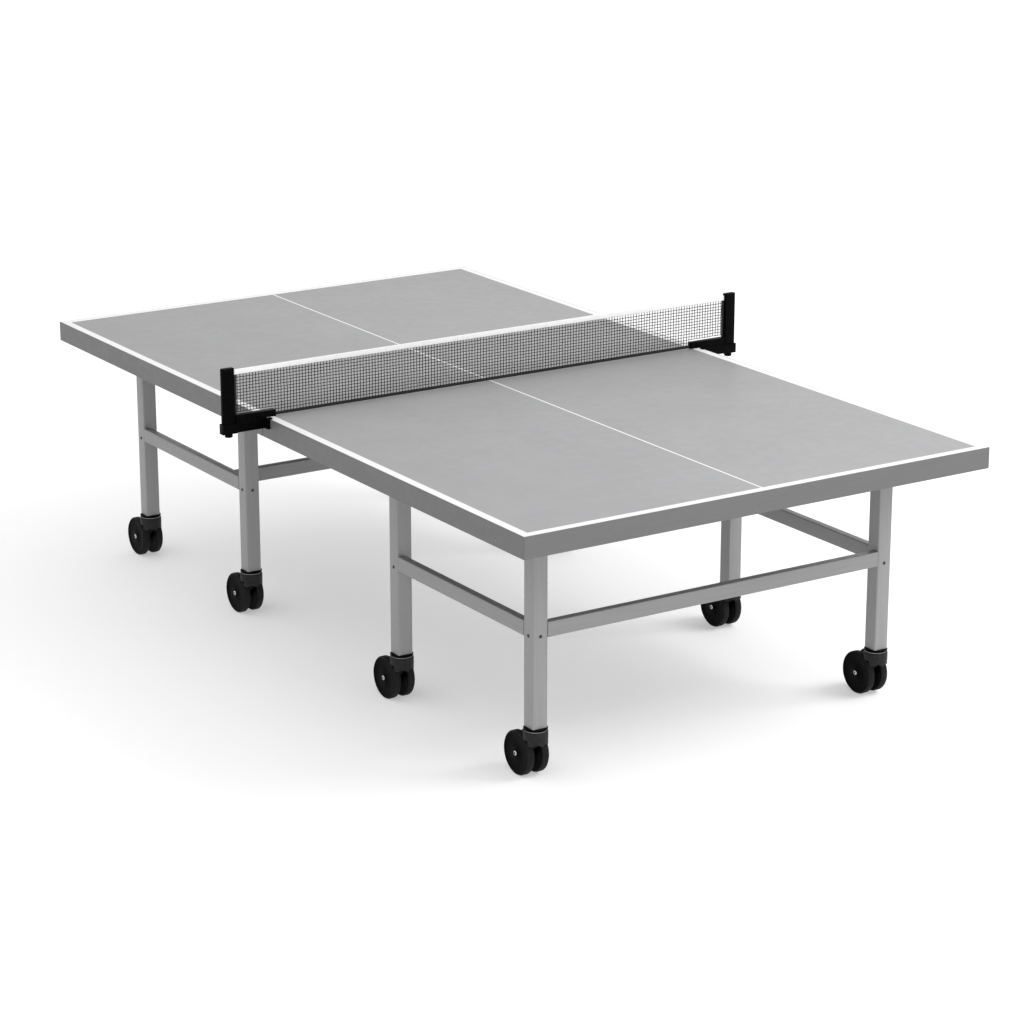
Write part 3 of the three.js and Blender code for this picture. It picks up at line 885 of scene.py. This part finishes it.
def folded_section(half, bend, lip, towards):
    """The outline of a folded strip, as (offset from its middle, level) points."""
    inner_half = half - HEM_WALL
    arc = [math.pi * k / HEM_BEND_STEPS for k in range(HEM_BEND_STEPS + 1)]
    outer = [(half * math.cos(a), bend + towards * half * math.sin(a)) for a in arc]
    inner = [(inner_half * math.cos(a), bend + towards * inner_half * math.sin(a)) for a in arc]
    return [(half, lip), *outer, (-half, lip), (-inner_half, lip), *reversed(inner),
            (inner_half, lip)]


def folded(bm, low, high, along, fold_at_high_end, steps, seed):
    """A strip folded in two along its length: a U section swept through a box."""
    draw = random.Random(seed)
    half = (high.y - low.y) / 2
    middle = (high.y + low.y) / 2
    across = 2 if along == 0 else 0
    if fold_at_high_end:
        section = folded_section(half, high[across] - half, low[across], 1)
    else:
        section = folded_section(half, low[across] + half, high[across], -1)
    loops = []
    for step in range(steps + 1):
        place = low[along] + (high[along] - low[along]) * step / steps
        wave = draw.uniform(-HEM_WAVE, HEM_WAVE) if 0 < step < steps else 0
        loop = []
        for off, level in section:
            point = [0.0, middle + off * (1 - abs(wave) / half), 0.0]
            point[along] = place
            point[across] = level + wave * HEM_LIFT
            loop.append(point)
        loops.append(loop)
    loft(bm, loops)


def net_hems(looks):
    """The white tape, the dark lower band and the dark bands down both ends."""
    made = []
    tape = bmesh.new()
    folded(tape, *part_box("net_tape"), 0, True, TAPE_STEPS, TAPE_SEED)
    made.append(piece("net_top_tape", tape, "net_set",
                      [looks["tape"]], ["net_tape"]))
    band = bmesh.new()
    folded(band, *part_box("net_bottom_band"), 0, False, BAND_STEPS, BAND_SEED)
    made.append(piece("net_lower_band", band, "net_set",
                      [looks["webbing"]], ["net_bottom_band"]))
    low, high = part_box("net_mesh")
    band_low, band_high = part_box("net_bottom_band")
    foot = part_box("right_net_bracket")[1].z + SIDE_HEM_RISE
    for side, x in (("left", low.x), ("right", high.x)):
        inner = x - math.copysign(SIDE_HEM_WIDTH, x)
        hem = bmesh.new()
        corner = Vector((min(x, inner), band_low.y, foot))
        opposite = Vector((max(x, inner), band_high.y, high.z))
        folded(hem, corner, opposite, 2, x > 0, SIDE_HEM_STEPS, SIDE_HEM_SEED)
        made.append(piece(f"net_{side}_hem", hem, "net_set",
                          [looks["webbing"]]))
    return made


def post(side, looks):
    """A net post: a rounded bar with a parting line under its cap, and a tenon below."""
    node = f"{side}_net_post"
    low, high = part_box(node)
    centre = (low + high) / 2
    middle = (centre.x, centre.y)
    width, depth = high.x - low.x, high.y - low.y
    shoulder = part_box(f"{side}_net_bracket")[0].z + POST_SHOULDER
    levels = [(shoulder + rise * MM, inset * MM) for rise, inset in POST_FOOT]
    levels += [(high.z - drop * MM, inset * MM) for drop, inset in POST_HEAD]
    bm = bmesh.new()
    loops = []
    for z, inset in levels:
        outline = rounded_rectangle(width - 2 * inset, depth - 2 * inset, POST_CORNER - inset)
        loops.append(lifted(outline, z, middle))
    loft(bm, loops)
    block(bm, (centre.x - TENON_HALF_WIDTH, centre.y - TENON_HALF_DEPTH, low.z),
          (centre.x + TENON_HALF_WIDTH, centre.y + TENON_HALF_DEPTH, shoulder + TENON_OVERLAP))
    piece(f"{side}_post_bar", bm, "net_set", [looks["nylon"]], [node])


def height_screw(side, looks):
    """The captive screw under a post, with a finger-grooved knob."""
    node = f"{side}_height_screw"
    low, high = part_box(node)
    centre = (low + high) / 2
    middle = (centre.x, centre.y)
    radius = (high.x - low.x) / 2
    bm = bmesh.new()
    knob = []
    for rise, inset in KNOB_PROFILE:
        outline = lobed(radius - inset * MM, KNOB_GROOVE, KNOB_LOBES, FINE_ROUND)
        knob.append(lifted(outline, low.z + rise * MM, middle))
    loft(bm, knob)
    foot = low.z + KNOB_HEIGHT - THREAD_CHAMFER
    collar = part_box(f"{side}_net_bracket")[0].z + SCREW_COLLAR_RISE
    collar_top = collar + SCREW_COLLAR_THICKNESS
    profile = [
        (THREAD_RADIUS, foot), (THREAD_RADIUS, collar), (SCREW_COLLAR_RADIUS, collar),
        (SCREW_COLLAR_RADIUS, collar_top), (THREAD_RADIUS, collar_top),
        (THREAD_RADIUS, high.z - THREAD_CHAMFER), (THREAD_TIP_RADIUS, high.z),
    ]
    turned(bm, profile, middle, count=THREAD_SIDES)
    piece(f"{side}_screw_knob", bm, f"{side}_screw", [looks["nylon"]], [node])


def bracket(side, looks):
    node = f"{side}_net_bracket"
    piece(f"{side}_bracket_moulding", softened(node), "near_half",
          [looks["nylon"]], [node], BRACKET_EDGE)


# ---------------------------------------------------------------------- stage

def back_direction(azimuth, elevation):
    a, e = math.radians(azimuth), math.radians(elevation)
    return Vector((math.sin(a) * math.cos(e), -math.cos(a) * math.cos(e), math.sin(e)))


def add_camera():
    data = bpy.data.cameras.new("camera")
    data.sensor_width = SENSOR_WIDTH
    data.lens = CAMERA_LENS
    data.clip_start = CLIP_START
    data.clip_end = CLIP_END
    camera = bpy.data.objects.new("camera", data)
    camera.location = CAMERA_LOCATION
    camera.rotation_mode = "QUATERNION"
    back = back_direction(CAMERA_AZIMUTH, CAMERA_ELEVATION)
    camera.rotation_quaternion = (-back).to_track_quat("-Z", "Y")
    bpy.context.scene.collection.objects.link(camera)
    bpy.context.scene.camera = camera


def add_floor():
    """A pale floor that glows, so that the shadows on it stay light."""
    bm = bmesh.new()
    s = FLOOR_HALF_SIDE
    corners = [bm.verts.new(p) for p in ((-s, -s, 0), (s, -s, 0), (s, s, 0), (-s, s, 0))]
    bm.faces.new(corners)
    mesh = bpy.data.meshes.new("floor")
    bm.to_mesh(mesh)
    bm.free()
    floor = bpy.data.objects.new("floor", mesh)
    bpy.context.scene.collection.objects.link(floor)
    look = bpy.data.materials.new("floor_paper")
    look.use_nodes = True
    shader = look.node_tree.nodes["Principled BSDF"]
    shader.inputs["Base Color"].default_value = (*grey(FLOOR_ALBEDO), 1)
    shader.inputs["Roughness"].default_value = 1.0
    shader.inputs["Specular IOR Level"].default_value = 0.0
    shader.inputs["Emission Color"].default_value = (1, 1, 1, 1)
    shader.inputs["Emission Strength"].default_value = FLOOR_GLOW
    mesh.materials.append(look)


def add_area_light(name, location, side, power):
    """A square soft light aimed at the middle of the table."""
    data = bpy.data.lights.new(name, "AREA")
    data.shape = "SQUARE"
    data.size = side
    data.energy = power
    light = bpy.data.objects.new(name, data)
    light.location = location
    aim = Vector(LIGHT_TARGET) - Vector(location)
    light.rotation_mode = "QUATERNION"
    light.rotation_quaternion = aim.to_track_quat("-Z", "Y")
    bpy.context.scene.collection.objects.link(light)


def add_lights():
    world = bpy.data.worlds.new("studio")
    world.use_nodes = True
    sky = world.node_tree.nodes["Background"]
    sky.inputs["Color"].default_value = (1, 1, 1, 1)
    sky.inputs["Strength"].default_value = SKY_STRENGTH
    bpy.context.scene.world = world
    add_area_light("key", KEY_LOCATION, KEY_SIDE, KEY_POWER)
    add_area_light("fill", FILL_LOCATION, FILL_SIDE, FILL_POWER)
    bpy.context.scene.view_settings.view_transform = "Standard"


# ---------------------------------------------------------------------- table

def all_looks():
    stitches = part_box("net_tape")[0].z + STITCH_RISE
    return {
        "board": board_paint(),
        "line": line_paint(),
        "underside": underside_painted_shade(),
        "apron": satin_steel("apron_satin", 0.133, 0.143, 0.42, STREAKS_LEVEL),
        "leg": satin_steel("leg_satin", 0.25, 0.272, 0.36, STREAKS_ALONG_Z),
        "rail_x": satin_steel("rail_satin_x", 0.235, 0.256, 0.38, STREAKS_ALONG_X),
        "rail_y": satin_steel("rail_satin_y", 0.238, 0.26, 0.38, STREAKS_ALONG_Y),
        "nylon": black_plastic("moulded_nylon", 0.0008, 0.002, 0.42, 0.55 * MM),
        "castor": black_plastic("castor_nylon", 0.014, 0.021, 0.45, 0.5 * MM, 0.12),
        "disc": black_plastic("wheel_disc", 0.0008, 0.0018, 0.5, 0.6 * MM),
        "tread": black_plastic("wheel_tread", 0.008, 0.014, 0.62, 0.8 * MM, 0.1),
        "zinc": bare_steel("zinc", 0.55, 0.75),
        "race": bare_steel("race_steel", 0.22, 0.34),
        "screw": dark_screw(),
        "twine": twine(),
        "webbing": woven("webbing", 0.005, 0.011, WEBBING_THREAD),
        "tape": woven("tape_cotton", 0.75, 0.82, TAPE_THREAD, stitches),
    }


def build_table():
    looks = all_looks()
    for half in ("near", "far"):
        playing_surface(half, looks)
        apron(half, looks)
        rail(f"{half}_cross_rail", 0, looks)
        rail(f"{half}_left_rail", 1, looks)
        rail(f"{half}_right_rail", 1, looks)
    for key in KEYS:
        leg(key, looks)
        castor(key, looks)
    for side in ("left", "right"):
        bracket(side, looks)
        post(side, looks)
        height_screw(side, looks)
    net(looks, net_hems(looks))


add_camera()
add_floor()
add_lights()
build_table()
